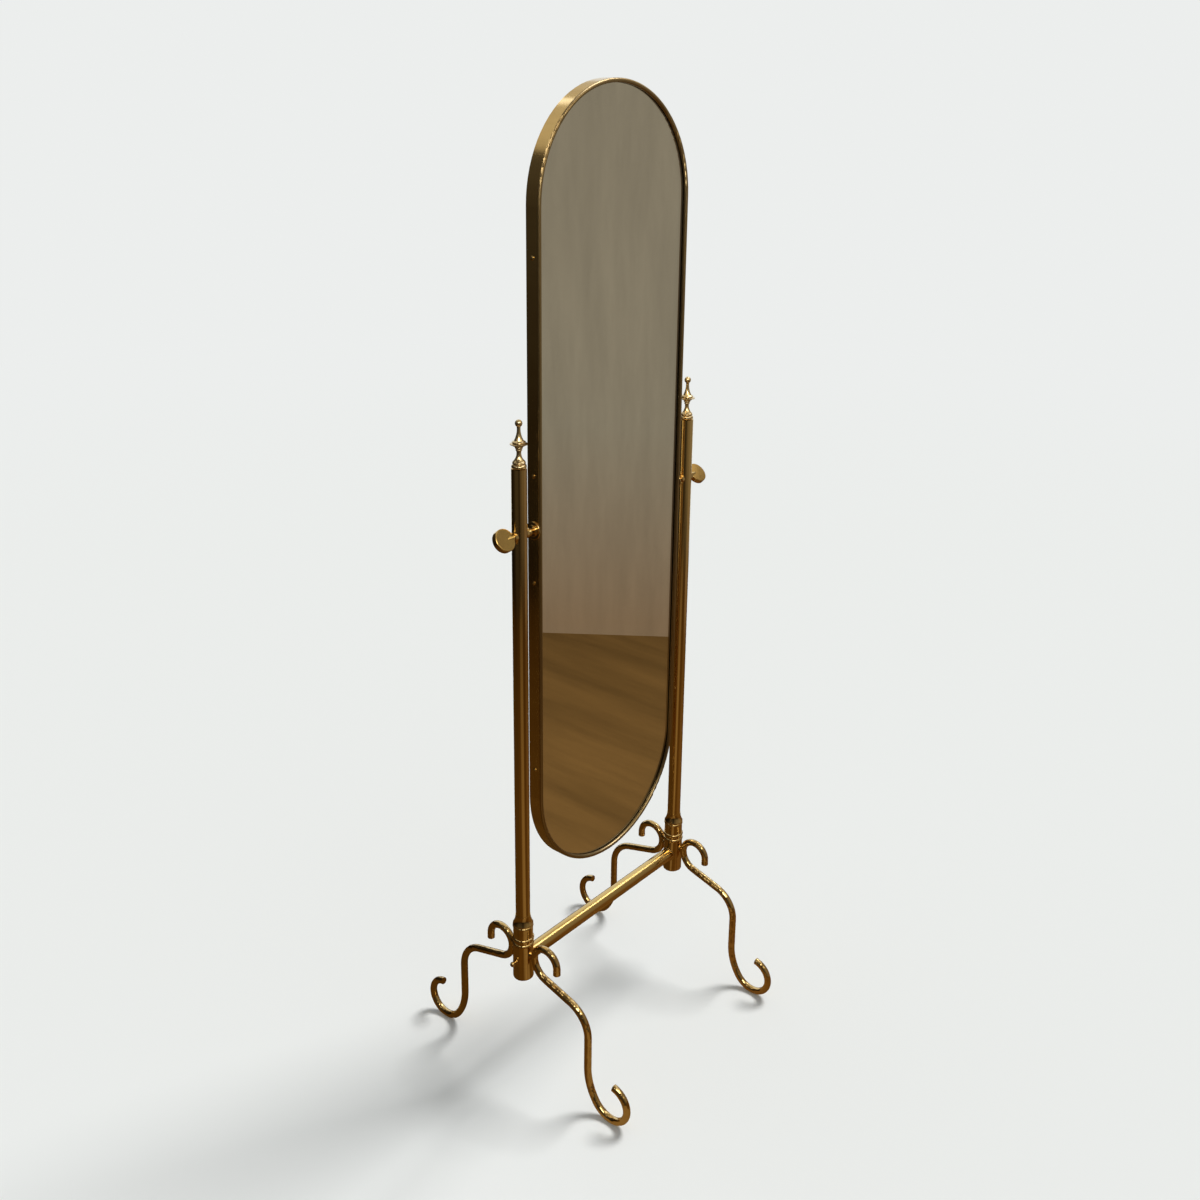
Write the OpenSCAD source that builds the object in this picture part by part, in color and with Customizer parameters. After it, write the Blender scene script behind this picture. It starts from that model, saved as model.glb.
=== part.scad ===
// Cheval mirror: a tall round-ended mirror that tilts between two brass posts on scrolled legs.
// Millimetres, +Z up, the floor at Z = 0, the mirror faces -Y, the stretcher runs along X.
// The sizes below are the ones to change: everything else follows from them.

/* [Mirror] */
// Outside width of the mirror frame
mirror_w = 366; // [346:2:388]
// Outside height of the mirror frame
mirror_h = 1344; // [1280:2:1360]
// How far the middle of the mirror sits above its pivots
mirror_rise = 10.5; // [0:0.5:14]
// Distance from the pivots forward to the band's front edge
band_front = 10.5; // [10:0.5:13]
// Distance from the pivots back to the band's rear edge
band_back = 12.5; // [11.5:0.5:14]
// Wall thickness of the band
band_wall = 2; // [1.5:0.1:2.5]
// Width of the half-round bezel in front of the glass
bezel_w = 7; // [6:0.5:9]
// How far the bezel reaches back inside the band to the glass
bezel_lip = 1.4; // [1:0.2:2.4]
// Thickness of the glass
glass_t = 4; // [3:0.5:5]
// Thickness of the backing board
board_t = 14; // [11:0.5:15]

/* [Stand] */
// Height of the pivots above the floor
pivot_z = 1008.5; // [990:0.5:1040]
// Length of post above the pivots
post_above_pivot = 109; // [90:1:130]
// Outside diameter of the posts and of the stretcher
tube_d = 25; // [24:0.5:26.5]
// Wall thickness of the posts and of the stretcher
tube_wall = 1.5; // [1:0.1:2]
// Height of the stretcher above the floor
stretcher_z = 231; // [222:1:245]
// Length of the threaded plugs inside the stretcher
stretcher_plug_l = 30; // [20:1:40]
// Length of bare shank between a socket and the ball of its stretcher screw
screw_neck = 4; // [2:0.5:6]

/* [Sockets] */
// Height of the socket's underside above the floor
socket_z = 193.5; // [185:0.5:205]
// Diameter of the socket's plain lower part
socket_d = 36; // [33:0.5:38]
// Thickness of the socket's floor, on which the post stands
socket_floor = 8; // [5:0.5:12]
// Height of the socket's turned rings above its underside
socket_ring_h = 67; // [62:1:72]
// Height of the top ring above the socket's underside
socket_top_h = 110.5; // [106:0.5:120]
// Height of the flared neck above the top ring
neck_h = 15; // [11:1:22]

/* [Legs] */
// Diameter of the leg rod
rod_d = 13; // [11:0.5:14]
// Height at which the rod is brazed to the socket
leg_root_z = 243.5; // [238:0.5:249]
// Length of rod lying straight in the socket's groove
leg_root_l = 1; // [1:0.5:6]
// How far the seat for the rod stands out from the socket
leg_seat = 3; // [1.5:0.5:5]
// Depth of the groove for the rod in its seat
leg_groove = 0.8; // [0.5:0.1:1.5]
// Bend radius of the hook over the top
hook_r = 26; // [22:0.5:30]
// Length of rod hanging straight at the end of the hook
hook_l = 9.5; // [4:0.5:14]
// Bend radius where the leg leaves the socket
shoulder_r = 33.5; // [28:0.5:40]
// Slope of the leg's upper run below level
shoulder_slope = 15.5; // [10:0.5:20]
// Length of the leg's upper run
shoulder_l = 61; // [50:1:72]
// Bend radius of the knee
knee_r = 54.5; // [46:0.5:60]
// Bend radius of the ankle's first part
ankle_r = 100; // [90:1:110]
// Angle of the ankle's first part
ankle_a = 36; // [30:1:40]
// Bend radius of the ankle's second part
heel_r = 40.5; // [35:0.5:47]
// Radius of the foot scroll
scroll_r = 34; // [28:0.5:38]
// Angle of the foot scroll
scroll_a = 172; // [150:2:180]
// Depth of the flat dressed under each foot
foot_flat = 0.3; // [0.2:0.05:0.6]

/* [Pivots] */
// Diameter of the rosette on the mirror frame
rosette_d = 30; // [26:1:34]
// Thickness of the rosette's flange
rosette_t = 2.4; // [2:0.1:3.5]
// Height of the rosette's boss beyond the flange
boss_t = 2.3; // [2:0.1:4]
// Diameter of the ball spacer
ball_d = 13.5; // [12.5:0.5:15.5]
// Length of the ball spacer along the pivot
ball_l = 11.5; // [10:0.1:13.5]
// Diameter of the saddle washers
saddle_d = 16; // [14:0.5:20]
// Thickness of the saddle washers at the middle
saddle_t = 3; // [2.5:0.1:4]
// Diameter of the thumb screw's stud
stud_d = 7; // [6:0.5:8]
// Diameter of the thumb screw's paddle
paddle_d = 38; // [32:1:40]
// Thickness of the paddle
paddle_t = 10; // [7:0.5:11]
// Length of neck between the outer saddle and the paddle's rim
paddle_neck = 0.2; // [0.2:0.2:6]
// Turn of the left paddle when tight
left_paddle_turn = 34; // [0:1:90]
// Turn of the right paddle when tight
right_paddle_turn = 45; // [0:1:90]
// Length of the pivot bars inside the frame beyond each of their screws
bar_end = 11; // [6:1:24]
// Distance of the bar's screws from the pivot
bar_screw_z = 89; // [80:1:92]
// Distance of the board's screws from the pivot
board_screw_z = 425; // [380:1:440]

/* [Finials] */
// Height of the finial above the post
finial_h = 77; // [74:1:84]
// Diameter of the finial's sharp disc
finial_disc_d = 28; // [25:0.5:30]

/* [Clearances] */
// Gap between the mirror's rosettes and the ball spacers
turn_gap = 0.3; // [0.2:0.05:0.5]
// Gap around a stud or screw in a plain hole
hole_gap = 0.3; // [0.2:0.05:0.5]
// Gap around a seated tube, plug or thread
seat_gap = 0.05; // [0.03:0.01:0.1]
// Gap around the glass and the board inside the band
glass_gap = 0.25; // [0.2:0.05:0.5]

/* [Hidden] */
$fn = 32;
big_fn = 96;
rod_fn = 16;
bend_fn = 40;
rod_lap = 0.6;
rod_thin = 0.16;

// Mirror, front to back. Y = 0 is the pivots' plane.
band_front_y = -band_front;
bezel_r = bezel_w / 2;
glass_front_y = band_front_y + bezel_lip;
glass_back_y = glass_front_y + glass_t;
board_back_y = glass_back_y + board_t;
mirror_z = pivot_z + mirror_rise;
arc_z = (mirror_h - mirror_w) / 2;
inner_w = mirror_w - 2 * band_wall;
inner_h = mirror_h - 2 * band_wall;
pane_w = inner_w - 2 * glass_gap;
pane_h = inner_h - 2 * glass_gap;
side_x = mirror_w / 2;

// Pivot stack, outwards from the band
rosette_x = side_x;
boss_x = rosette_x + rosette_t + boss_t;
ball_x = boss_x + turn_gap;
saddle_x = ball_x + ball_l;
post_r = tube_d / 2;
post_x = saddle_x + saddle_t + seat_gap + post_r;
outer_saddle_x = post_x + post_r + seat_gap;
neck_x = outer_saddle_x + saddle_t + turn_gap;
paddle_x = neck_x + paddle_neck + paddle_d / 2;
bar_t = 6;
bar_w = 10;
bar_l = 2 * (bar_screw_z + bar_end);
bar_x = side_x - band_wall - seat_gap - bar_t;
bar_front_y = glass_back_y + seat_gap;
stud_tip_x = bar_x - 6;
stud_hole_d = stud_d + 2 * hole_gap;

// Posts and sockets
post_top_z = pivot_z + post_above_pivot;
post_foot_z = socket_z + socket_floor;
socket_r = socket_d / 2;
bore_r = post_r + seat_gap;
seat_root_r = bore_r + 1.5;
top_ring_z = socket_z + socket_top_h;
ring_r = socket_r + 1.2;
bead_r = 3;
waist_r = socket_r - 0.8;
top_bead_r = 2.1;
top_ring_r = socket_r + 0.2;
flare_r = top_ring_r - 1.4;
neck_r = bore_r + 0.6;
cove_w = flare_r - neck_r;
cove_r = (cove_w * cove_w + neck_h * neck_h) / (2 * cove_w);
plug_r = post_r - tube_wall - seat_gap;

// Stretcher screw
screw_d = 6;
screw_head_d = 9;
screw_hole_d = screw_d + 2 * hole_gap;
screw_seat_x = post_x + socket_r + seat_gap;
plug_x = post_x - socket_r - 2;
screw_tip_x = plug_x - stretcher_plug_l + 6;

// Leg rod: the straight shin takes up what is left of the height
leg_u = socket_r + leg_seat - leg_groove + seat_gap + rod_d / 2;
shoulder_a = 90 - shoulder_slope;
leg_top_z = leg_root_z - leg_root_l / 2;
knee_z = leg_top_z - shoulder_r * sin(shoulder_a) - shoulder_l * sin(shoulder_slope);
shin_z = knee_z - knee_r * cos(shoulder_slope);
heel_a = 90 - ankle_a;
heel_drop = ankle_r * sin(ankle_a) + heel_r * (1 - cos(heel_a)) + rod_lap * cos(ankle_a);
shin_l = shin_z - heel_drop - rod_d / 2 + foot_flat;
leg_reach = leg_u + shoulder_r + shoulder_l + knee_r + ankle_r + heel_r + scroll_r;

// Finial heights above the post, as parts of the whole
fh = finial_h / 77;
disc_r = finial_disc_d / 2;
finial_ball_r = 5.9;
foot_waist_r = 3.7;
foot_cove_r = 17.6;
neck_waist_r = 2.9;
cone_cove_r = 37;

brass = [0.72, 0.53, 0.24];
steel = [0.6, 0.61, 0.62];

// Cylinder along +X from x0 to x1
module along_x(x0, x1, d) {
  translate([x0, 0, 0])
    rotate([0, 90, 0])
      cylinder(h = x1 - x0, d = d);
}

// Puts its children on the right, or mirrored on the left
module side(left) {
  mirror([left ? 1 : 0, 0, 0])
    children();
}

// Posts and their ends

module post(left) {
  color(brass)
    side(left)
      translate([post_x, 0, 0])
        difference() {
          translate([0, 0, post_foot_z])
            cylinder(h = post_top_z - post_foot_z, r = post_r);
          translate([0, 0, post_foot_z - 1])
            cylinder(h = post_top_z - post_foot_z + 2, r = post_r - tube_wall);
          translate([0, 0, pivot_z])
            along_x(-post_r - 1, post_r + 1, stud_hole_d);
          translate([0, 0, stretcher_z])
            along_x(-post_r - 1, post_r + 1, screw_hole_d);
        }
}

module post_plug(left) {
  color(brass)
    side(left)
      translate([post_x, 0, post_top_z - 23])
        difference() {
          cylinder(h = 22.5, r = plug_r);
          translate([0, 0, -1])
            cylinder(h = 25, r = 4 + seat_gap);
        }
}

// Turned finial: base bead, ring, flare, two small rings, a sharp disc below a thin one, cone and ball
module finial_profile() {
  square([8.6, 6.8 * fh]);
  translate([8.6, 3.4 * fh])
    circle(r = 3.4 * fh);
  translate([0, 6 * fh])
    square([8.8, 5.2 * fh]);
  translate([8.8, 9 * fh])
    circle(r = 1.8 * fh);
  difference() {
    translate([0, 11 * fh])
      square([9.9, 17 * fh]);
    translate([foot_waist_r + foot_cove_r, 24.6 * fh])
      circle(r = foot_cove_r, $fn = 64);
  }
  translate([0, 27.5 * fh])
    square([4.3, 8 * fh]);
  translate([4.1, 29.3 * fh])
    circle(r = 1.1 * fh);
  translate([0, 31 * fh])
    square([4.9, 3 * fh]);
  translate([4.9, 32.7 * fh])
    circle(r = 1.3 * fh);
  polygon([
    [0, 34 * fh], [6.6, 34.2 * fh], [8.6, 35.4 * fh], [10.9, 37.1 * fh], [disc_r, 38.2 * fh],
    [disc_r, 39.2 * fh], [9.6, 40.6 * fh], [9.3, 41.3 * fh], [0, 41.3 * fh]
  ]);
  polygon([
    [0, 41.2 * fh], [10.2, 41.2 * fh], [10.8, 42 * fh], [10.6, 42.6 * fh], [7.4, 44.4 * fh], [0, 44.4 * fh]
  ]);
  difference() {
    translate([0, 44 * fh])
      square([7.6, finial_h - finial_ball_r - 44 * fh]);
    translate([neck_waist_r + cone_cove_r, 62.2 * fh])
      circle(r = cone_cove_r, $fn = 96);
  }
  translate([0, finial_h - finial_ball_r])
    intersection() {
      circle(r = finial_ball_r);
      translate([0, -7])
        square([7, 14]);
    }
}

module finial(left) {
  color(brass)
    side(left)
      translate([post_x, 0, post_top_z]) {
        rotate_extrude()
          finial_profile();
        translate([0, 0, -16])
          cylinder(h = 17, r = 4);
      }
}

// Sockets

module socket_profile() {
  difference() {
    union() {
      translate([0, 3])
        square([socket_r, socket_ring_h - 3]);
      square([socket_r - 3, 4]);
      translate([socket_r - 3, 3])
        circle(r = 3);
      translate([0, socket_ring_h])
        square([waist_r, socket_top_h - socket_ring_h]);
      for (z = [3, 13])
        translate([ring_r - bead_r, socket_ring_h + z])
          circle(r = bead_r);
      for (z = [-6.5, -0.5])
        translate([top_ring_r - top_bead_r, socket_top_h + z])
          circle(r = top_bead_r);
      translate([0, socket_top_h])
        square([flare_r, neck_h]);
    }
    translate([neck_r + cove_r, socket_top_h + neck_h])
      circle(r = cove_r, $fn = 128);
    translate([-1, socket_floor])
      square([bore_r + 1, socket_top_h + neck_h]);
  }
}

module socket(left) {
  color(brass)
    side(left)
      translate([post_x, 0, 0])
        difference() {
          union() {
            translate([0, 0, socket_z])
              rotate_extrude()
                socket_profile();
            for (s = [-1, 1])
              translate([0, s * seat_root_r, leg_root_z])
                rotate([-90 * s, 0, 0])
                  cylinder(h = socket_r + leg_seat - seat_root_r, d = rod_d);
          }
          translate([0, 0, stretcher_z])
            along_x(-socket_r - 2, socket_r + 2, screw_hole_d);
          for (s = [-1, 1])
            translate([0, s * leg_u, leg_root_z - leg_root_l / 2 - 9])
              cylinder(h = leg_root_l + 18, d = rod_d + 2 * seat_gap);
        }
}

// Legs: a rod bent in one upright plane

// Each piece starts at the origin and runs along +X. Its children start at its end.
// Bends are a hair thinner than straights, which reach over the ends of the bends beside them.
module rod_straight(l) {
  translate([-rod_lap, 0, 0])
    rotate([0, 90, 0])
      cylinder(h = l + 2 * rod_lap, d = rod_d, $fn = rod_fn);
  translate([l, 0, 0])
    children();
}

module rod_bend(r, a) {
  translate([0, r, 0])
    rotate([0, 0, -90])
      rotate_extrude(angle = a, $fn = bend_fn)
        translate([r, 0])
          circle(d = rod_d - rod_thin, $fn = rod_fn);
}

module bend_out(r, a) {
  rod_bend(r, a);
  translate([0, r, 0])
    rotate([0, 0, a])
      translate([0, -r, 0])
        children();
}

module bend_in(r, a) {
  mirror([0, 1, 0])
    rod_bend(r, a);
  translate([0, -r, 0])
    rotate([0, 0, -a])
      translate([0, r, 0])
        children();
}

module leg_rod() {
  translate([0, leg_root_l / 2, 0])
    rotate([0, 0, -90])
      rod_straight(leg_root_l)
        bend_out(shoulder_r, shoulder_a)
          rod_straight(shoulder_l)
            bend_in(knee_r, shoulder_a)
              rod_straight(shin_l)
                bend_out(ankle_r, ankle_a)
                  rod_straight(rod_lap)
                    bend_out(heel_r, heel_a)
                      rod_straight(rod_lap)
                        bend_out(scroll_r, scroll_a);
  translate([0, leg_root_l / 2, 0])
    rotate([0, 0, 90])
      bend_in(hook_r, 180)
        rod_straight(hook_l);
}

module leg(left, front) {
  color(brass)
    side(left)
      difference() {
        translate([post_x, 0, leg_root_z])
          rotate([0, 0, front ? -90 : 90])
            translate([leg_u, 0, 0])
              rotate([90, 0, 0])
                leg_rod();
        translate([post_x - rod_d, -leg_reach, -rod_d])
          cube([2 * rod_d, 2 * leg_reach, rod_d]);
      }
}

// Stretcher

module stretcher() {
  color(brass)
    difference() {
      along_x(-post_x, post_x, tube_d);
      along_x(-post_x - 1, post_x + 1, tube_d - 2 * tube_wall);
      for (s = [-1, 1])
        translate([s * post_x, 0, -30])
          cylinder(h = 60, r = socket_r + seat_gap);
    }
}

module stretcher_plug(left) {
  color(brass)
    side(left)
      translate([0, 0, stretcher_z])
        difference() {
          along_x(plug_x - stretcher_plug_l, plug_x, 2 * plug_r);
          along_x(plug_x - stretcher_plug_l - 1, plug_x + 1, screw_d + 2 * seat_gap);
        }
}

module stretcher_screw(left) {
  color(brass)
    side(left)
      translate([0, 0, stretcher_z]) {
        along_x(screw_tip_x, screw_seat_x + screw_neck + 1, screw_d);
        along_x(screw_seat_x, screw_seat_x + 1.4, screw_head_d);
        translate([screw_seat_x + screw_neck + screw_head_d / 2, 0, 0])
          sphere(d = screw_head_d);
      }
}

// Pivots

// Washer whose one face is hollowed to sit round the post
module saddle(left, x_face, outer) {
  color(brass)
    side(left)
      translate([0, 0, pivot_z])
        difference() {
          if (outer)
            along_x(post_x + post_r - 3, x_face, saddle_d);
          else
            along_x(x_face, post_x - post_r + 3, saddle_d);
          translate([post_x, 0, -20])
            cylinder(h = 40, r = post_r + seat_gap);
          along_x(x_face - 20, x_face + 20, stud_hole_d);
        }
}

module ball_spacer(left) {
  color(brass)
    side(left)
      translate([0, 0, pivot_z])
        difference() {
          union() {
            intersection() {
              translate([ball_x + ball_l / 2, 0, 0])
                sphere(d = ball_d);
              along_x(ball_x + 1, ball_x + ball_l - 1, ball_d + 2);
            }
            along_x(ball_x, ball_x + 1.6, stud_hole_d + 2.4);
            along_x(saddle_x - 1.6, saddle_x, stud_hole_d + 2.4);
          }
          along_x(ball_x - 1, saddle_x + 1, stud_hole_d);
        }
}

module rosette_profile() {
  square([rosette_d / 2 - rosette_t / 2, rosette_t]);
  translate([rosette_d / 2 - rosette_t / 2, rosette_t / 2])
    circle(r = rosette_t / 2);
  square([rosette_d / 2 - 5.4, rosette_t + boss_t - 1]);
  square([rosette_d / 2 - 6.4, rosette_t + boss_t]);
  translate([rosette_d / 2 - 6.4, rosette_t + boss_t - 1])
    circle(r = 1);
}

module rosette(left) {
  color(brass)
    side(left)
      translate([rosette_x, 0, pivot_z])
        rotate([0, 90, 0])
          difference() {
            rotate_extrude()
              rosette_profile();
            translate([0, 0, -1])
              cylinder(h = rosette_t + boss_t + 2, d = stud_hole_d);
          }
}

// Paddle: a thick disc on edge, its rim eased
module paddle_profile() {
  edge = 1.6;
  square([paddle_d / 2 - edge, paddle_t]);
  translate([0, edge])
    square([paddle_d / 2, paddle_t - 2 * edge]);
  for (z = [edge, paddle_t - edge])
    translate([paddle_d / 2 - edge, z])
      circle(r = edge);
}

module thumb_screw(left) {
  turn = left ? left_paddle_turn : right_paddle_turn;
  color(brass)
    side(left)
      translate([0, 0, pivot_z]) {
        along_x(stud_tip_x, neck_x + 1, stud_d);
        translate([neck_x, 0, 0])
          rotate([0, 90, 0])
            cylinder(h = paddle_x - neck_x, d1 = 13, d2 = paddle_t - 1);
        translate([paddle_x, 0, 0])
          rotate([90 - turn, 0, 0])
            translate([0, 0, -paddle_t / 2])
              rotate_extrude($fn = 64)
                paddle_profile();
      }
}

// Mirror

// Round-ended outline standing in the X-Z plane, from y0 back to y1
module pill(w, h, y0, y1) {
  translate([0, y1, mirror_z])
    rotate([90, 0, 0])
      linear_extrude(y1 - y0) {
        square([w, h - w], center = true);
        for (s = [-1, 1])
          translate([0, s * (h - w) / 2])
            circle(d = w, $fn = big_fn);
      }
}

module frame_band() {
  color(brass)
    difference() {
      pill(mirror_w, mirror_h, band_front_y, band_back);
      pill(inner_w, inner_h, band_front_y - 1, band_back + 1);
      for (s = [-1, 1])
        mirror([s > 0 ? 0 : 1, 0, 0]) {
          translate([0, 0, pivot_z])
            along_x(side_x - 10, side_x + 10, stud_hole_d);
          for (z = [-1, 1]) {
            translate([0, 0, pivot_z + z * bar_screw_z])
              along_x(side_x - 10, side_x + 10, 4 + 2 * seat_gap);
            translate([0, 0, pivot_z + z * board_screw_z])
              along_x(side_x - 10, side_x + 10, 4 + 2 * seat_gap);
          }
        }
    }
}

// Half-round section with a lip behind it, inside the band, that holds the glass back
module bezel_section() {
  difference() {
    circle(r = bezel_r, $fn = 24);
    translate([-bezel_w, -bezel_w])
      square([2 * bezel_w, bezel_w]);
  }
  translate([-bezel_r, -bezel_lip])
    square([bezel_w - band_wall - glass_gap, bezel_lip]);
}

module front_bezel() {
  color(brass)
    translate([0, band_front_y, mirror_z])
      rotate([90, 0, 0])
        for (s = [0, 1])
          rotate([0, 0, 180 * s]) {
            translate([0, arc_z, 0])
              rotate_extrude(angle = 180, $fn = big_fn)
                translate([side_x - bezel_r, 0])
                  bezel_section();
            translate([side_x - bezel_r, arc_z, 0])
              rotate([90, 0, 0])
                linear_extrude(2 * arc_z)
                  bezel_section();
          }
}

module mirror_glass() {
  color([0.62, 0.66, 0.68])
    pill(pane_w, pane_h, glass_front_y, glass_back_y);
}

module backing_board() {
  color([0.45, 0.32, 0.2])
    difference() {
      pill(pane_w, pane_h, glass_back_y, board_back_y);
      for (s = [-1, 1])
        mirror([s > 0 ? 0 : 1, 0, 0]) {
          translate([bar_x - seat_gap, glass_back_y - 1, pivot_z - bar_l / 2 - seat_gap])
            cube([20, bar_w / 2 + seat_gap - glass_back_y + 1, bar_l + 2 * seat_gap]);
          translate([0, 0, pivot_z])
            along_x(stud_tip_x - 2, side_x, stud_hole_d);
          for (z = [-1, 1]) {
            translate([0, 0, pivot_z + z * bar_screw_z])
              along_x(bar_x - 3, side_x, 4 + 2 * hole_gap);
            translate([0, 0, pivot_z + z * board_screw_z])
              along_x(side_x - 26, side_x + 1, 4 + 2 * seat_gap);
          }
        }
    }
}

module pivot_bar(left) {
  color(steel)
    side(left)
      difference() {
        translate([bar_x, bar_front_y, pivot_z - bar_l / 2])
          cube([bar_t, bar_w / 2 - bar_front_y, bar_l]);
        translate([0, 0, pivot_z])
          along_x(bar_x - 1, side_x, stud_d + 2 * seat_gap);
        for (z = [-1, 1])
          translate([0, 0, pivot_z + z * bar_screw_z])
            along_x(bar_x - 1, side_x, 4 + 2 * seat_gap);
      }
}

// Round-headed slotted screw driven inwards along -X from the band's face
module frame_screw_profile(l) {
  translate([0, -l])
    square([2, l + 0.5]);
  square([3.5, 0.6]);
  intersection() {
    translate([0, -3.3])
      circle(r = 5.2);
    translate([0, 0.3])
      square([3.5, 3]);
  }
}

module frame_screw(l) {
  difference() {
    translate([side_x, 0, 0])
      rotate([0, 90, 0])
        rotate_extrude()
          frame_screw_profile(l);
    translate([side_x + 1.1, -5, -0.5])
      cube([3, 10, 1]);
  }
}

module frame_screws(z0, l) {
  color(brass)
    for (s = [0, 1])
      mirror([s, 0, 0])
        for (z = [-1, 1])
          translate([0, 0, pivot_z + z * z0])
            frame_screw(l);
}

post(true);  // left_post
post(false);  // right_post
post_plug(true);  // left_post_plug
post_plug(false);  // right_post_plug
finial(true);  // left_finial
finial(false);  // right_finial
socket(true);  // left_socket
socket(false);  // right_socket
leg(true, true);  // left_front_leg
leg(true, false);  // left_rear_leg
leg(false, true);  // right_front_leg
leg(false, false);  // right_rear_leg
translate([0, 0, stretcher_z]) stretcher();
stretcher_plug(true);  // left_stretcher_plug
stretcher_plug(false);  // right_stretcher_plug
stretcher_screw(true);  // left_stretcher_screw
stretcher_screw(false);  // right_stretcher_screw
saddle(true, saddle_x, false);  // left_inner_saddle
saddle(false, saddle_x, false);  // right_inner_saddle
saddle(true, outer_saddle_x + saddle_t, true);  // left_outer_saddle
saddle(false, outer_saddle_x + saddle_t, true);  // right_outer_saddle
ball_spacer(true);  // left_ball_spacer
ball_spacer(false);  // right_ball_spacer
frame_band();
front_bezel();
mirror_glass();
backing_board();
rosette(true);  // left_rosette
rosette(false);  // right_rosette
pivot_bar(true);  // left_pivot_bar
pivot_bar(false);  // right_pivot_bar
frame_screws(bar_screw_z, 8);  // pivot_bar_screws
frame_screws(board_screw_z, 24);  // board_screws
thumb_screw(true);  // left_thumb_screw
thumb_screw(false);  // right_thumb_screw
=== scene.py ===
import math

import bmesh
import bpy
from mathutils import Matrix, Vector, noise


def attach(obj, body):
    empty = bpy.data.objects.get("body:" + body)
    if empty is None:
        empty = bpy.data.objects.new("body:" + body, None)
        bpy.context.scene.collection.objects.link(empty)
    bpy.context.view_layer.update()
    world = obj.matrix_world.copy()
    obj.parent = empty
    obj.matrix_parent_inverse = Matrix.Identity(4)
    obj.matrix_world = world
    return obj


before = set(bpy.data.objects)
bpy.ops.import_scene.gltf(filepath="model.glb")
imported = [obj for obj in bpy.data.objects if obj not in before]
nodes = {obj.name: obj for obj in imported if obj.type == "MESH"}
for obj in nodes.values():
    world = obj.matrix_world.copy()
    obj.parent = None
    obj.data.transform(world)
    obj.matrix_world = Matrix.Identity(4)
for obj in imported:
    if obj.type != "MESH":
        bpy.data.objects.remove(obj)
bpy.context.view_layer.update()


# The camera stands in front of the mirror and to its left, just below the level of its top.
# Its place, aim and lens were solved from the photograph, and the shift keeps its framing.
picture_px = 1200
sensor_mm = 36
focal_px = 1255.08
middle_x_px, middle_y_px = 622.79, 496.14
camera_at = Vector((-1.5481, -1.2880, 1.6547))
azimuth, elevation, roll = (math.radians(a) for a in (50.928, 17.409, 0.970))
back = Vector((-math.sin(azimuth) * math.cos(elevation),
               -math.cos(azimuth) * math.cos(elevation), math.sin(elevation)))
level = Vector((math.cos(azimuth), -math.sin(azimuth), 0))
rise = back.cross(level)
right = math.cos(roll) * level + math.sin(roll) * rise
up = math.cos(roll) * rise - math.sin(roll) * level
lens = bpy.data.cameras.new("camera")
lens.sensor_width = sensor_mm
lens.lens = focal_px / picture_px * sensor_mm
lens.shift_x = (picture_px / 2 - middle_x_px) / picture_px
lens.shift_y = (middle_y_px - picture_px / 2) / picture_px
lens.clip_end = 200
camera = bpy.data.objects.new("camera", lens)
bpy.context.scene.collection.objects.link(camera)
turn = Matrix((right, up, back)).transposed()
camera.matrix_world = Matrix.Translation(camera_at) @ turn.to_4x4()
bpy.context.scene.camera = camera
bpy.context.scene.view_settings.view_transform = "Standard"


# The studio paper: one pale matt sheet under the mirror, with the same pale tone all round it.
# It takes the soft shadows near the feet, and far away it runs into the backdrop with no edge.
paper_colour = (0.840, 0.856, 0.847, 1)
paper_size = 60
shadows_end, paper_plain = 2.5, 7.0
fill_light = 0.45


def link(name, mesh):
    made = bpy.data.objects.new(name, mesh)
    bpy.context.scene.collection.objects.link(made)
    return made


def finish_mesh(name, bm):
    bmesh.ops.remove_doubles(bm, verts=bm.verts, dist=1e-6)
    bmesh.ops.recalc_face_normals(bm, faces=bm.faces)
    mesh = bpy.data.meshes.new(name)
    bm.to_mesh(mesh)
    bm.free()
    return mesh


def new_material(name):
    made = bpy.data.materials.new(name)
    made.use_nodes = True
    return made, made.node_tree, made.node_tree.nodes["Principled BSDF"]


def add(tree, kind, **values):
    node = tree.nodes.new(kind)
    for socket, setting in values.pop("inputs", {}).items():
        node.inputs[socket].default_value = setting
    for key, value in values.items():
        setattr(node, key, value)
    return node


def seen_by_eye(tree):
    # 1 for what the camera sees directly, in metal or through glass, else 0
    path = add(tree, "ShaderNodeLightPath")
    either = add(tree, "ShaderNodeMath", operation="MAXIMUM")
    tree.links.new(path.outputs["Is Camera Ray"], either.inputs[0])
    tree.links.new(path.outputs["Is Glossy Ray"], either.inputs[1])
    shown = add(tree, "ShaderNodeMath", operation="MAXIMUM")
    tree.links.new(either.outputs[0], shown.inputs[0])
    tree.links.new(path.outputs["Is Transmission Ray"], shown.inputs[1])
    return shown.outputs[0]


paper, tree, shader = new_material("studio_paper")
shader.inputs["Base Color"].default_value = paper_colour
shader.inputs["Roughness"].default_value = 1
shader.inputs["Specular IOR Level"].default_value = 0
place = add(tree, "ShaderNodeTexCoord")
away = add(tree, "ShaderNodeVectorMath", operation="LENGTH")
tree.links.new(place.outputs["Object"], away.inputs[0])
far = add(tree, "ShaderNodeMapRange", interpolation_type="SMOOTHSTEP",
          inputs={1: shadows_end, 2: paper_plain})
tree.links.new(away.outputs["Value"], far.inputs[0])
blend = add(tree, "ShaderNodeMath", operation="MULTIPLY")
tree.links.new(far.outputs[0], blend.inputs[0])
tree.links.new(seen_by_eye(tree), blend.inputs[1])
plain = add(tree, "ShaderNodeEmission", inputs={"Color": paper_colour})
joined = add(tree, "ShaderNodeMixShader")
tree.links.new(blend.outputs[0], joined.inputs[0])
tree.links.new(shader.outputs[0], joined.inputs[1])
tree.links.new(plain.outputs[0], joined.inputs[2])
tree.links.new(joined.outputs[0], tree.nodes["Material Output"].inputs[0])
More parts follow.
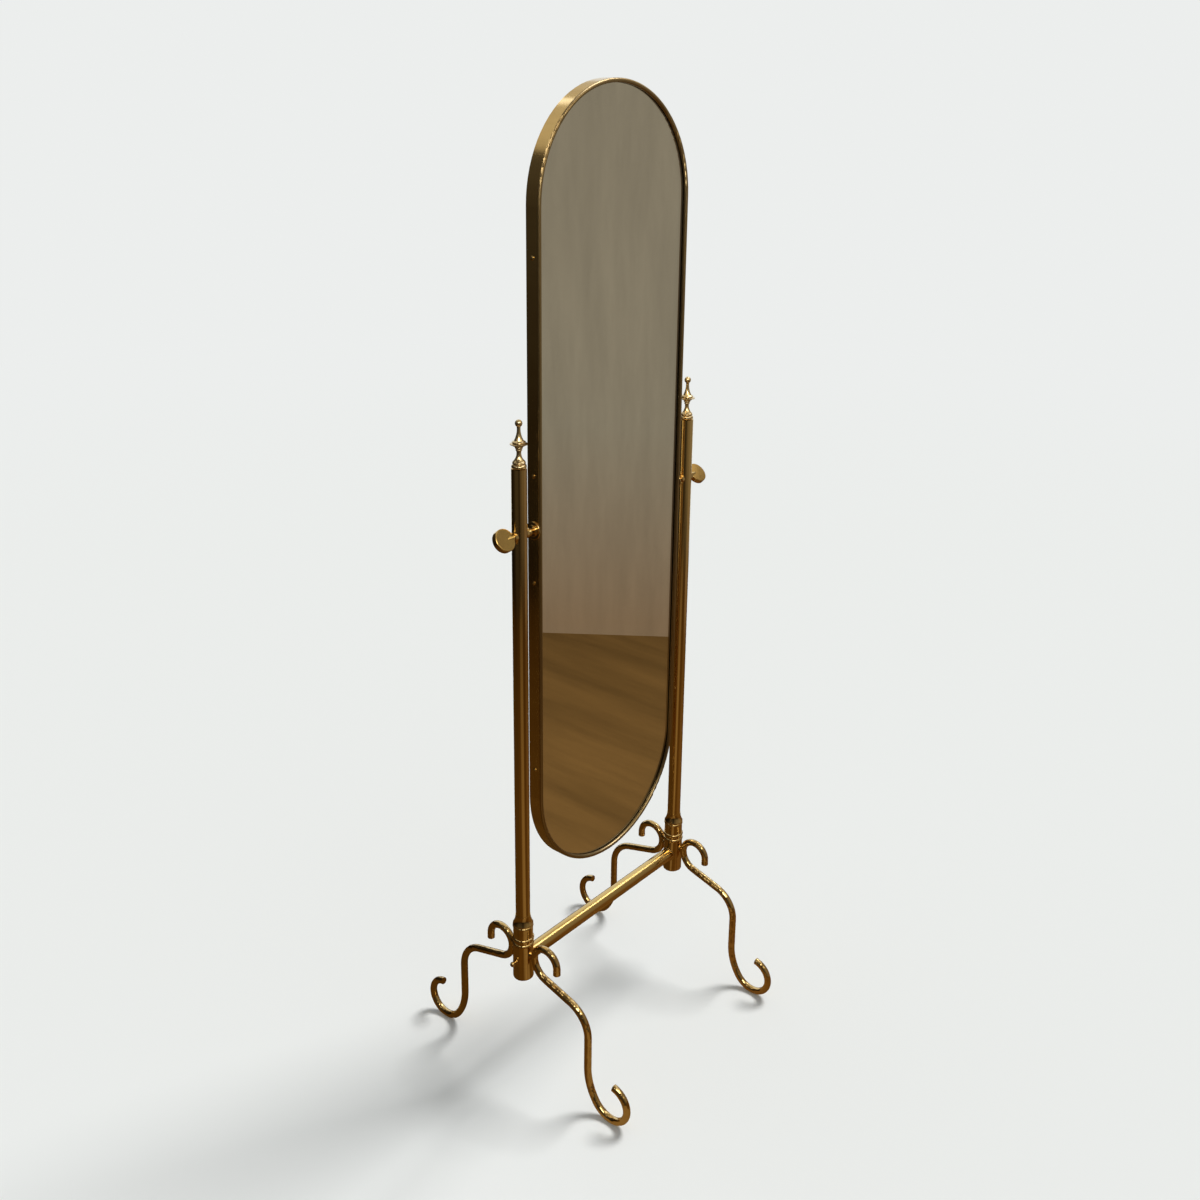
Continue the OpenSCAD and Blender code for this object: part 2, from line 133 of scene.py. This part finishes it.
bm = bmesh.new()
bmesh.ops.create_grid(bm, x_segments=1, y_segments=1, size=paper_size)
floor = link("studio_floor", finish_mesh("studio_floor", bm))
floor.data.materials.append(paper)

world = bpy.data.worlds.new("studio")
bpy.context.scene.world = world
world.use_nodes = True
tree = world.node_tree
sky = tree.nodes["Background"]
sky.inputs["Color"].default_value = paper_colour
sky_level = add(tree, "ShaderNodeMapRange", inputs={3: fill_light, 4: 1.0})
tree.links.new(seen_by_eye(tree), sky_level.inputs[0])
tree.links.new(sky_level.outputs[0], sky.inputs["Strength"])


# One broad soft lamp, high on the right and a little in front of the mirror.
# It lays the pale shadows to the left of the feet and behind them.
lamp_side = Vector((1.5, -0.25, 2.4))
sun = bpy.data.lights.new("key_lamp", "SUN")
sun.energy = 2.27
sun.angle = math.radians(21)
sun.color = (1.0, 0.995, 0.985)
key = bpy.data.objects.new("key_lamp", sun)
bpy.context.scene.collection.objects.link(key)
key.rotation_euler = lamp_side.to_track_quat("Z", "Y").to_euler()


# Cloths and panels stand round the set, only for the metal and the glass to mirror.
# They are plain tones of brown, taupe and cream, and a few brighter panels give the highlights.
def panel(name, colour, size, at, facing, streak=0.0, weave_scale=9.0, pulled=(1, 0.12, 1)):
    paint = bpy.data.materials.new(name)
    paint.use_nodes = True
    tree = paint.node_tree
    tree.nodes.remove(tree.nodes["Principled BSDF"])
    glow = add(tree, "ShaderNodeEmission", inputs={"Color": (*colour, 1)})
    tree.links.new(glow.outputs[0], tree.nodes["Material Output"].inputs[0])
    if streak:
        place = add(tree, "ShaderNodeTexCoord")
        pull = add(tree, "ShaderNodeMapping", inputs={"Scale": pulled})
        tree.links.new(place.outputs["Object"], pull.inputs[0])
        weave = add(tree, "ShaderNodeTexNoise",
                    inputs={"Scale": weave_scale, "Detail": 6.0, "Roughness": 0.65})
        tree.links.new(pull.outputs[0], weave.inputs["Vector"])
        shade = add(tree, "ShaderNodeMapRange", inputs={1: 0.25, 2: 0.75, 3: 1 - streak, 4: 1 + streak})
        tree.links.new(weave.outputs["Fac"], shade.inputs[0])
        tree.links.new(shade.outputs[0], glow.inputs["Strength"])
    bm = bmesh.new()
    bmesh.ops.create_grid(bm, x_segments=1, y_segments=1, size=0.5)
    bmesh.ops.scale(bm, vec=(size[0], size[1], 1), verts=bm.verts)
    made = link(name, finish_mesh(name, bm))
    made.data.materials.append(paint)
    made.matrix_world = (Matrix.Translation(at)
                         @ Vector(facing).to_track_quat("Z", "Y").to_matrix().to_4x4())
    made.visible_camera = False
    made.visible_diffuse = False
    made.visible_shadow = False
    return made


camera_side = math.degrees(math.atan2(back.y, back.x))


def around(side, far, z):
    # side counts in degrees to the right of the camera's side of the set
    heading = math.radians(camera_side + side)
    return Vector((math.cos(heading) * far, math.sin(heading) * far, z))


def glow_of(cloth):
    tree = cloth.data.materials[0].node_tree
    return tree, next(n for n in tree.nodes if n.type == "EMISSION")


# heights and distances in metres over which a cloth changes its tone: painted shade near its foot and far
# out, painted light towards its top
foot_from, foot_to = 0.04, 0.42
top_light_from, top_light_to = 0.6, 3.2
painted_top_light_colour = (0.075, 0.068, 0.052, 1)
near_set, far_set = 0.9, 2.2


def tone_by_side(made, tones, painted_foot_shade=None, painted_far_shade=None):
    # a cloth's tone changes with the side it is on; it may carry painted shade near its foot, with painted
    # light towards its top, and painted shade far out
    tree, glow = glow_of(made)
    place = add(tree, "ShaderNodeTexCoord")
    split = add(tree, "ShaderNodeSeparateXYZ")
    tree.links.new(place.outputs["Object"], split.inputs[0])
    bearing = add(tree, "ShaderNodeMath", operation="ARCTAN2")
    tree.links.new(split.outputs["Y"], bearing.inputs[0])
    tree.links.new(split.outputs["X"], bearing.inputs[1])
    share = add(tree, "ShaderNodeMapRange", inputs={1: -math.pi, 2: math.pi})
    tree.links.new(bearing.outputs[0], share.inputs[0])
    ramp = add(tree, "ShaderNodeValToRGB")
    placed = sorted((((camera_side + side + 180) % 360) / 360, tone) for side, tone in tones)
    stops = ramp.color_ramp.elements
    for count, (where, tone) in enumerate(placed):
        stop = stops[count] if count < 2 else stops.new(where)
        stop.position = where
        stop.color = (*tone, 1)
    tree.links.new(share.outputs[0], ramp.inputs[0])
    shown = ramp.outputs["Color"]
    # painted shade: the cloth darkens far from the set
    if painted_far_shade:
        reach = add(tree, "ShaderNodeVectorMath", operation="LENGTH")
        tree.links.new(place.outputs["Object"], reach.inputs[0])
        fade = add(tree, "ShaderNodeMapRange", inputs={1: near_set, 2: far_set, 3: 1.0, 4: painted_far_shade})
        tree.links.new(reach.outputs["Value"], fade.inputs[0])
        outer = add(tree, "ShaderNodeMix", data_type="RGBA", blend_type="MULTIPLY", inputs={0: 1.0})
        tree.links.new(shown, outer.inputs[6])
        tree.links.new(fade.outputs[0], outer.inputs[7])
        shown = outer.outputs[2]
    # painted shade darkens the cloth towards its foot, and painted light lightens it towards its top
    if painted_foot_shade:
        lift = add(tree, "ShaderNodeMapRange", inputs={1: foot_from, 2: foot_to, 3: painted_foot_shade, 4: 1.0})
        tree.links.new(split.outputs["Z"], lift.inputs[0])
        dim = add(tree, "ShaderNodeMix", data_type="RGBA", blend_type="MULTIPLY", inputs={0: 1.0})
        tree.links.new(shown, dim.inputs[6])
        tree.links.new(lift.outputs[0], dim.inputs[7])
        top = add(tree, "ShaderNodeMapRange", inputs={1: top_light_from, 2: top_light_to, 3: 0.0, 4: 1.0})
        tree.links.new(split.outputs["Z"], top.inputs[0])
        haze = add(tree, "ShaderNodeMix", data_type="RGBA", blend_type="ADD", inputs={7: painted_top_light_colour})
        tree.links.new(top.outputs[0], haze.inputs[0])
        tree.links.new(dim.outputs[2], haze.inputs[6])
        shown = haze.outputs[2]
    tree.links.new(shown, glow.inputs["Color"])


dark, dusk = (0.013, 0.009, 0.004), (0.022, 0.016, 0.009)
olive, bronze, tan = (0.058, 0.046, 0.028), (0.105, 0.080, 0.045), (0.190, 0.150, 0.090)
pale, cream = (0.60, 0.54, 0.40), (0.46, 0.39, 0.25)
wall_from, wall_to, wall_far, wall_top = -142, 140, 2.3, 2.98
wall = panel("round_cloth", (1, 1, 1), (1, 1), (0, 0, 0), (0, 0, 1), 0.16, 9.0, (1, 1, 0.04))
wall.matrix_world = Matrix.Identity(4)
bm = bmesh.new()
ends = [bm.verts.new(around(wall_from, wall_far, z)) for z in (0, wall_top)]
edge = bm.edges.new(ends)
bmesh.ops.spin(bm, geom=[*ends, edge], cent=(0, 0, 0), axis=(0, 0, 1), dvec=(0, 0, 0),
               angle=math.radians(wall_to - wall_from), steps=64)
bm.to_mesh(wall.data)
bm.free()
tone_by_side(wall, [(-141, dark), (-90, dark), (-70, dusk), (-45, olive), (-18, olive), (2, dusk),
                    (20, bronze), (50, tan), (139, tan), (180, dark)], painted_foot_shade=0.35)

canopy = panel("canopy", (1, 1, 1), (4.6, 4.6), (0, 0, wall_top), (0, 0, 1), 0.30)
canopy.matrix_world = Matrix.Translation((0, 0, wall_top))
tone_by_side(canopy, [(-141, pale), (-96, pale), (-70, bronze), (-20, bronze), (10, cream), (120, cream),
                      (140, pale), (180, pale)])

# the ground cloth has a pale lane, a painted reflection of a streak of light on the floor, and painted shade
# far from the set
ground = panel("ground_cloth", (1, 1, 1), (5.2, 5.2), (0, 0, 0), (0, 0, 1), 0.28)
ground.matrix_world = Matrix.Translation((0, 0, 0.004))
brown, shade_brown, oak = (0.104, 0.048, 0.008), (0.082, 0.040, 0.008), (0.168, 0.087, 0.025)
painted_light_lane = (0.27, 0.170, 0.066)
tone_by_side(ground, [(-141, shade_brown), (-80, shade_brown), (-39, brown), (-14, brown), (0, painted_light_lane),
                      (24, painted_light_lane), (36, brown), (62, brown), (82, oak), (128, oak), (165, brown)],
             painted_far_shade=0.5)

taupe_at = around(104, 1.75, 1.3)
taupe = panel("taupe_cloth", (1, 1, 1), (2.0, 2.6), taupe_at, (-taupe_at.x, -taupe_at.y, 0), 0.12, 14.0)
tree, glow = glow_of(taupe)
place = add(tree, "ShaderNodeTexCoord")
split = add(tree, "ShaderNodeSeparateXYZ")
tree.links.new(place.outputs["Object"], split.inputs[0])
# painted shade: the cloth turns darker and browner towards its foot
lift = add(tree, "ShaderNodeMapRange", inputs={1: -1.25, 2: -0.60})
tree.links.new(split.outputs["Y"], lift.inputs[0])
cloth = add(tree, "ShaderNodeMix", data_type="RGBA",
            inputs={6: (0.215, 0.142, 0.080, 1), 7: (0.245, 0.208, 0.146, 1)})
tree.links.new(lift.outputs[0], cloth.inputs[0])
tree.links.new(cloth.outputs[2], glow.inputs["Color"])

# each bright panel has its radiance, its size, its side, distance and height, and the height it faces
for name, colour, size, side, far, z, aim_z in (
        ("front_panel", (6.4, 5.9, 4.6), (1.0, 0.7), 8, 1.8, 2.2, 0.3),
        ("front_right_panel", (1.15, 0.98, 0.64), (1.5, 0.9), 66, 1.6, 2.2, 0.3),
        ("right_panel", (5.5, 5.0, 3.8), (0.3, 0.5), 46, 1.4, 2.4, 0.3),
        ("left_panel", (1.7, 1.5, 1.1), (0.5, 0.7), -38, 1.9, 2.4, 0.3),
        ("side_panel", (0.92, 0.76, 0.50), (0.6, 0.6), 124, 1.66, 2.35, 1.0),
        ("top_panel", (1.9, 1.9, 1.8), (0.22, 0.22), 217, 1.27, 2.94, 1.6)):
    at = around(side, far, z)
    lit = panel(name, colour, size, at, (-at.x, -at.y, aim_z - z))
    # the metal shows these panels, but the silvered glass doesn't, so it keeps its plain tones
    tree, glow = glow_of(lit)
    path = add(tree, "ShaderNodeLightPath")
    in_metal = add(tree, "ShaderNodeMath", operation="LESS_THAN", inputs={1: 0.5})
    tree.links.new(path.outputs["Transmission Depth"], in_metal.inputs[0])
    clear = add(tree, "ShaderNodeBsdfTransparent")
    either = add(tree, "ShaderNodeMixShader")
    tree.links.new(in_metal.outputs[0], either.inputs[0])
    tree.links.new(clear.outputs[0], either.inputs[1])
    tree.links.new(glow.outputs[0], either.inputs[2])
    tree.links.new(either.outputs[0], tree.nodes["Material Output"].inputs[0])


# Posts and stretcher: drawn brass tube, polished lengthwise and lacquered.
# The stretcher butts against the sockets, where a rough bright fillet of braze runs round it.
def group(name, inputs, outputs):
    made = bpy.data.node_groups.new(name, "ShaderNodeTree")
    for label, kind, default in inputs:
        socket = made.interface.new_socket(label, in_out="INPUT", socket_type=kind)
        socket.default_value = default
    for label, kind in outputs:
        made.interface.new_socket(label, in_out="OUTPUT", socket_type=kind)
    return made, made.nodes.new("NodeGroupInput"), made.nodes.new("NodeGroupOutput")


brass_group, given, result = group(
    "brass_finish",
    [("Bright", "NodeSocketColor", (0.78, 0.58, 0.28, 1)),
     ("Brown", "NodeSocketColor", (0.50, 0.31, 0.12, 1)),
     ("Stretch", "NodeSocketVector", (1, 1, 1)),
     ("Tarnish", "NodeSocketFloat", 0.4),
     ("Smooth", "NodeSocketFloat", 0.10),
     ("Polish Scale", "NodeSocketFloat", 420.0),
     ("Wave Scale", "NodeSocketFloat", 60.0),
     ("Wave", "NodeSocketFloat", 0.0)],
    [("Color", "NodeSocketColor"), ("Roughness", "NodeSocketFloat"), ("Height", "NodeSocketFloat")])
tree = brass_group
place = add(tree, "ShaderNodeTexCoord")
drawn = add(tree, "ShaderNodeVectorMath", operation="MULTIPLY")
tree.links.new(place.outputs["Object"], drawn.inputs[0])
tree.links.new(given.outputs["Stretch"], drawn.inputs[1])
cloud = add(tree, "ShaderNodeTexNoise", inputs={"Scale": 26.0, "Detail": 6.0, "Roughness": 0.6})
tree.links.new(drawn.outputs[0], cloud.inputs["Vector"])
amount = add(tree, "ShaderNodeMapRange", inputs={1: 0.38, 2: 0.72})
tree.links.new(cloud.outputs["Fac"], amount.inputs[0])
dose = add(tree, "ShaderNodeMath", operation="MULTIPLY")
tree.links.new(amount.outputs[0], dose.inputs[0])
tree.links.new(given.outputs["Tarnish"], dose.inputs[1])
tone = add(tree, "ShaderNodeMix", data_type="RGBA")
tree.links.new(dose.outputs[0], tone.inputs[0])
tree.links.new(given.outputs["Bright"], tone.inputs[6])
tree.links.new(given.outputs["Brown"], tone.inputs[7])
tree.links.new(tone.outputs[2], result.inputs["Color"])
rub = add(tree, "ShaderNodeTexNoise", inputs={"Detail": 3.0})
tree.links.new(drawn.outputs[0], rub.inputs["Vector"])
tree.links.new(given.outputs["Polish Scale"], rub.inputs["Scale"])
dull = add(tree, "ShaderNodeMath", operation="MULTIPLY_ADD", inputs={1: 0.10})
tree.links.new(rub.outputs["Fac"], dull.inputs[0])
tree.links.new(given.outputs["Smooth"], dull.inputs[2])
tree.links.new(dull.outputs[0], result.inputs["Roughness"])
swell = add(tree, "ShaderNodeTexNoise", inputs={"Detail": 1.0})
tree.links.new(place.outputs["Object"], swell.inputs["Vector"])
tree.links.new(given.outputs["Wave Scale"], swell.inputs["Scale"])
waves = add(tree, "ShaderNodeMath", operation="MULTIPLY")
tree.links.new(swell.outputs["Fac"], waves.inputs[0])
tree.links.new(given.outputs["Wave"], waves.inputs[1])
height = add(tree, "ShaderNodeMath", operation="MULTIPLY_ADD", inputs={1: 0.01})
tree.links.new(rub.outputs["Fac"], height.inputs[0])
tree.links.new(waves.outputs[0], height.inputs[2])
tree.links.new(height.outputs[0], result.inputs["Height"])


def brass(name, relief_depth=0.0004, coat=0.25, **settings):
    made, tree, shader = new_material(name)
    finish = add(tree, "ShaderNodeGroup", node_tree=brass_group)
    for label, value in settings.items():
        finish.inputs[label.replace("_", " ")].default_value = value
    tree.links.new(finish.outputs["Color"], shader.inputs["Base Color"])
    tree.links.new(finish.outputs["Roughness"], shader.inputs["Roughness"])
    relief = add(tree, "ShaderNodeBump", inputs={"Strength": 1.0, "Distance": relief_depth})
    tree.links.new(finish.outputs["Height"], relief.inputs["Height"])
    tree.links.new(relief.outputs["Normal"], shader.inputs["Normal"])
    shader.inputs["Metallic"].default_value = 1
    shader.inputs["Coat Weight"].default_value = coat
    shader.inputs["Coat Roughness"].default_value = 0.06
    return made


def dress(material, *names):
    for name in names:
        nodes[name].data.materials.clear()
        nodes[name].data.materials.append(material)


post_brass = brass("post_brass", Stretch=(1, 1, 0.04), Tarnish=0.55, Smooth=0.10, Wave=0.35, Wave_Scale=14.0)
dress(post_brass, "left_post", "right_post", "left_post_plug", "right_post_plug")
stretcher_brass = brass("stretcher_brass", Bright=(0.76, 0.55, 0.22, 1), Brown=(0.50, 0.30, 0.09, 1),
                        Stretch=(0.04, 1, 1), Tarnish=0.6, Smooth=0.12, Wave=0.3, Wave_Scale=16.0)
dress(stretcher_brass, "stretcher", "left_stretcher_plug", "right_stretcher_plug")

braze, tree, shader = new_material("brazing_metal")
place = add(tree, "ShaderNodeTexCoord")
lumps = add(tree, "ShaderNodeTexNoise", inputs={"Scale": 500.0, "Detail": 4.0})
tree.links.new(place.outputs["Object"], lumps.inputs["Vector"])
colour = add(tree, "ShaderNodeMix", data_type="RGBA",
             inputs={6: (0.86, 0.68, 0.36, 1), 7: (0.46, 0.27, 0.09, 1)})
tree.links.new(lumps.outputs["Fac"], colour.inputs[0])
tree.links.new(colour.outputs[2], shader.inputs["Base Color"])
relief = add(tree, "ShaderNodeBump", inputs={"Strength": 1.0, "Distance": 0.0006})
tree.links.new(lumps.outputs["Fac"], relief.inputs["Height"])
tree.links.new(relief.outputs["Normal"], shader.inputs["Normal"])
shader.inputs["Metallic"].default_value = 1
shader.inputs["Roughness"].default_value = 0.28

post_x = 0.21505
stretcher_z = 0.231
tube_r = 0.0125
socket_r = 0.018
fillet_r = 0.0011
fillet_lift = 0.0004
lump_height = 0.0005
lumps_to_metre = 300


def ring(bm, ring_r, bead_r, axis):
    # a round bead of metal bent into a closed ring about the X or the Y axis
    made = bmesh.ops.create_circle(bm, segments=10, radius=bead_r)["verts"]
    bmesh.ops.translate(bm, vec=(0, ring_r, 0), verts=made)
    if axis == "Y":
        bmesh.ops.rotate(bm, cent=(0, 0, 0), matrix=Matrix.Rotation(math.radians(-90), 3, "Z"), verts=made)
    edges = list({e for v in made for e in v.link_edges})
    line = (1, 0, 0) if axis == "X" else (0, 1, 0)
    bmesh.ops.spin(bm, geom=edges, cent=(0, 0, 0), axis=line, dvec=(0, 0, 0), angle=2 * math.pi,
                   steps=72, use_merge=True)


for name, side in (("left_stretcher_fillet", -1), ("right_stretcher_fillet", 1)):
    bm = bmesh.new()
    ring(bm, tube_r + fillet_lift, fillet_r, "X")
    for v in bm.verts:
        lump = noise.noise(v.co * lumps_to_metre + Vector((side * 5, 0, 0)))
        out = Vector((0, v.co.y, v.co.z)).normalized()
        v.co += out * (lump_height * lump) + Vector((lump_height * lump, 0, 0))
        inward = math.sqrt(max(socket_r ** 2 - v.co.y ** 2, 0)) + fillet_lift
        v.co.x = side * (post_x - inward + v.co.x)
        v.co.z += stretcher_z
    fillet = link(name, finish_mesh(name, bm))
    fillet.data.materials.append(braze)
    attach(fillet, "stand")


# Sockets, finials, rosettes, spacers and washers: turned from brass bar and polished in the lathe.
# The tool marks run round them, too fine to see but enough to soften their shine.
turned_brass = brass("turned_brass", Stretch=(0.35, 0.35, 3.0), Tarnish=0.45, Smooth=0.01)
dress(turned_brass, *(side + piece for side in ("left_", "right_")
                      for piece in ("socket", "rosette", "ball_spacer", "inner_saddle",
                                    "outer_saddle", "stretcher_screw")))
# the finials are buffed softer, and their colour is made paler as painted light, for the cream highlights
# they show
finial_painted_light_brass = brass("finial_painted_light_brass", Bright=(0.84, 0.70, 0.46, 1), Brown=(0.60, 0.43, 0.22, 1),
                     Stretch=(0.35, 0.35, 3.0), Tarnish=0.4, Smooth=0.15)
dress(finial_painted_light_brass, "left_finial", "right_finial")


# Thumb screws: a thick disc turned with its stud, its rim eased and its faces polished flat.
# They are less tarnished than the tubes, because use keeps them rubbed.
thumb_brass = brass("thumb_screw_brass", Bright=(0.74, 0.52, 0.20, 1), Tarnish=0.35, Smooth=0.08, Wave=0.7,
                    Wave_Scale=30.0)
dress(thumb_brass, "left_thumb_screw", "right_thumb_screw")


# Legs: solid brass rod, bent cold by hand, so that its surface waves and breaks up the shine.
# Each is brazed into a groove in the seat on its socket, and the braze shows as a narrow ring.
rod_brass = brass("rod_brass", relief_depth=0.0021, Tarnish=0.5, Smooth=0.04, Wave=1.0, Wave_Scale=80.0)
dress(rod_brass, *(side + end + "_leg" for side in ("left_", "right_") for end in ("front", "rear")))
seat_y = 0.021
leg_root_z = 0.2435
seat_ring_r, seat_bead_r = 0.0046, 0.0008
seat_narrow, seat_tall = 0.86, 1.22
seat_sunk = 0.0002
seat_lump = 0.0003
seat_lumps_to_metre = 500
for name, side in (("left_leg_braze", -1), ("right_leg_braze", 1)):
    bm = bmesh.new()
    for end in (-1, 1):
        known = set(bm.verts)
        ring(bm, seat_ring_r, seat_bead_r, "Y")
        for v in bm.verts:
            if v in known:
                continue
            lump = seat_lump * noise.noise(v.co * seat_lumps_to_metre + Vector((side * 3, end * 7, 0)))
            v.co = Vector((side * post_x + v.co.x * seat_narrow + lump,
                           end * (seat_y - seat_sunk) + v.co.y + lump,
                           leg_root_z + v.co.z * seat_tall))
    fillet = link(name, finish_mesh(name, bm))
    fillet.data.materials.append(braze)
    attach(fillet, "stand")


# Mirror frame: a strip of flat brass bent into the outline, and a half-round bezel in front of it.
# The strip's two ends meet in one soldered seam, high on the left.
frame_brass = brass("frame_brass", Stretch=(1, 0.3, 1), Tarnish=0.35, Smooth=0.12, Wave=0.5, Wave_Scale=9.0)
dress(frame_brass, "frame_band")
# the bezel is duller than the band, and its colour is darkened as painted shade, for the darker reflections
# it shows
bezel_painted_shade_brass = brass("bezel_painted_shade_brass", coat=0.05, Bright=(0.38, 0.29, 0.16, 1), Brown=(0.27, 0.18, 0.09, 1),
                    Stretch=(1, 1, 0.2), Tarnish=0.5, Smooth=0.27)
dress(bezel_painted_shade_brass, "front_bezel")
frame_r = 0.183
mirror_mid_z = 1.019
arc_up = 0.489
seam_angle = math.radians(66.5)
seam_size = (0.0011, 0.0225, 0.0003)
seam_eased = 0.0001
seam_y = 0.001
arc_mid_z = mirror_mid_z + arc_up
bm = bmesh.new()
bmesh.ops.create_cube(bm, size=1)
bmesh.ops.scale(bm, vec=seam_size, verts=bm.verts)
bmesh.ops.bevel(bm, geom=bm.edges[:], offset=seam_eased, affect="EDGES", segments=2, profile=0.5,
                material=-1)
bmesh.ops.rotate(bm, cent=(0, 0, 0), matrix=Matrix.Rotation(-seam_angle, 3, "Y"), verts=bm.verts)
seam_at = (-math.sin(seam_angle) * frame_r, seam_y, arc_mid_z + math.cos(seam_angle) * frame_r)
bmesh.ops.translate(bm, vec=seam_at, verts=bm.verts)
seam = link("band_seam", finish_mesh("band_seam", bm))
seam.data.materials.append(braze)
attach(seam, "mirror")


# Screws in the edge of the frame: round-headed, slotted brass wood and machine screws.
# The four near the pivots hold the pivot bars, and the four outer ones hold the board.
screw_brass = brass("screw_brass", Tarnish=0.6, Smooth=0.16)
dress(screw_brass, "pivot_bar_screws", "board_screws")


# Pivot bars: mild steel, sawn and filed, lying inside the frame behind the glass.
# Each is tapped for a thumb screw's stud and for its two small screws.
steel, tree, shader = new_material("filed_steel")
place = add(tree, "ShaderNodeTexCoord")
filed = add(tree, "ShaderNodeMapping", inputs={"Scale": (1, 1, 0.03)})
tree.links.new(place.outputs["Object"], filed.inputs[0])
grain = add(tree, "ShaderNodeTexNoise", inputs={"Scale": 900.0, "Detail": 3.0})
tree.links.new(filed.outputs[0], grain.inputs["Vector"])
shade = add(tree, "ShaderNodeMix", data_type="RGBA",
            inputs={6: (0.52, 0.53, 0.54, 1), 7: (0.40, 0.40, 0.39, 1)})
tree.links.new(grain.outputs["Fac"], shade.inputs[0])
tree.links.new(shade.outputs[2], shader.inputs["Base Color"])
dull = add(tree, "ShaderNodeMapRange", inputs={3: 0.28, 4: 0.5})
tree.links.new(grain.outputs["Fac"], dull.inputs[0])
tree.links.new(dull.outputs[0], shader.inputs["Roughness"])
shader.inputs["Metallic"].default_value = 1
dress(steel, "left_pivot_bar", "right_pivot_bar")


# The glass: clear float glass, four millimetres thick, with its edge hidden in the frame.
# A film of silver on its back does the mirroring, a glass's thickness behind the front face.
glass, tree, shader = new_material("float_glass")
shader.inputs["Base Color"].default_value = (0.975, 0.985, 0.975, 1)
shader.inputs["Transmission Weight"].default_value = 1
shader.inputs["IOR"].default_value = 1.52
place = add(tree, "ShaderNodeTexCoord")
wiped = add(tree, "ShaderNodeTexNoise", inputs={"Scale": 7.0, "Detail": 4.0})
tree.links.new(place.outputs["Object"], wiped.inputs["Vector"])
haze = add(tree, "ShaderNodeMapRange", inputs={1: 0.4, 2: 0.8, 3: 0.0, 4: 0.012})
tree.links.new(wiped.outputs["Fac"], haze.inputs[0])
tree.links.new(haze.outputs[0], shader.inputs["Roughness"])
dress(glass, "mirror_glass")

silver, tree, shader = new_material("silver_film")
place = add(tree, "ShaderNodeTexCoord")
aged = add(tree, "ShaderNodeTexNoise", inputs={"Scale": 5.0, "Detail": 5.0})
tree.links.new(place.outputs["Object"], aged.inputs["Vector"])
film = add(tree, "ShaderNodeMix", data_type="RGBA",
           inputs={6: (0.94, 0.935, 0.92, 1), 7: (0.885, 0.885, 0.865, 1)})
tree.links.new(aged.outputs["Fac"], film.inputs[0])
tree.links.new(film.outputs[2], shader.inputs["Base Color"])
shader.inputs["Metallic"].default_value = 1
shader.inputs["Roughness"].default_value = 0.0
pane_r = 0.18065
film_back_y = -0.00512
film_t = 0.00006
pane_sides = 144
bm = bmesh.new()
bmesh.ops.create_circle(bm, cap_ends=True, segments=pane_sides, radius=pane_r)
bmesh.ops.rotate(bm, cent=(0, 0, 0), matrix=Matrix.Rotation(math.pi / pane_sides, 3, "Z"), verts=bm.verts)
bmesh.ops.rotate(bm, cent=(0, 0, 0), matrix=Matrix.Rotation(math.pi / 2, 3, "X"), verts=bm.verts)
for v in bm.verts:
    v.co.z += mirror_mid_z + (arc_up if v.co.z > 0 else -arc_up)
    v.co.y = film_back_y
grown = bmesh.ops.extrude_face_region(bm, geom=bm.faces[:])
front = [v for v in grown["geom"] if isinstance(v, bmesh.types.BMVert)]
bmesh.ops.translate(bm, vec=(0, -film_t, 0), verts=front)
silvering = link("silvering", finish_mesh("silvering", bm))
silvering.data.materials.append(silver)
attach(silvering, "mirror")


# The board behind the glass: plywood with an upright grain, stained brown and waxed.
# It fills the frame and takes the four outer screws in its edge.
wood, tree, shader = new_material("stained_plywood")
place = add(tree, "ShaderNodeTexCoord")
along = add(tree, "ShaderNodeMapping", inputs={"Scale": (1, 1, 0.06)})
tree.links.new(place.outputs["Object"], along.inputs[0])
figure = add(tree, "ShaderNodeTexNoise", inputs={"Scale": 26.0, "Detail": 5.0, "Distortion": 0.6})
tree.links.new(along.outputs[0], figure.inputs["Vector"])
pores = add(tree, "ShaderNodeTexNoise", inputs={"Scale": 420.0, "Detail": 4.0})
tree.links.new(along.outputs[0], pores.inputs["Vector"])
bands = add(tree, "ShaderNodeValToRGB")
bands.color_ramp.elements[0].position = 0.36
bands.color_ramp.elements[0].color = (0.17, 0.085, 0.040, 1)
bands.color_ramp.elements[1].position = 0.66
bands.color_ramp.elements[1].color = (0.30, 0.165, 0.080, 1)
tree.links.new(figure.outputs["Fac"], bands.inputs[0])
dots = add(tree, "ShaderNodeMapRange", inputs={1: 0.52, 2: 0.70, 3: 1.0, 4: 0.55})
tree.links.new(pores.outputs["Fac"], dots.inputs[0])
stain = add(tree, "ShaderNodeMix", data_type="RGBA", blend_type="MULTIPLY", inputs={0: 1.0})
tree.links.new(bands.outputs["Color"], stain.inputs[6])
tree.links.new(dots.outputs[0], stain.inputs[7])
tree.links.new(stain.outputs[2], shader.inputs["Base Color"])
waxed = add(tree, "ShaderNodeMapRange", inputs={3: 0.42, 4: 0.62})
tree.links.new(pores.outputs["Fac"], waxed.inputs[0])
tree.links.new(waxed.outputs[0], shader.inputs["Roughness"])
relief = add(tree, "ShaderNodeBump", inputs={"Strength": 0.5, "Distance": 0.0003})
tree.links.new(pores.outputs["Fac"], relief.inputs["Height"])
tree.links.new(relief.outputs["Normal"], shader.inputs["Normal"])
dress(wood, "backing_board")
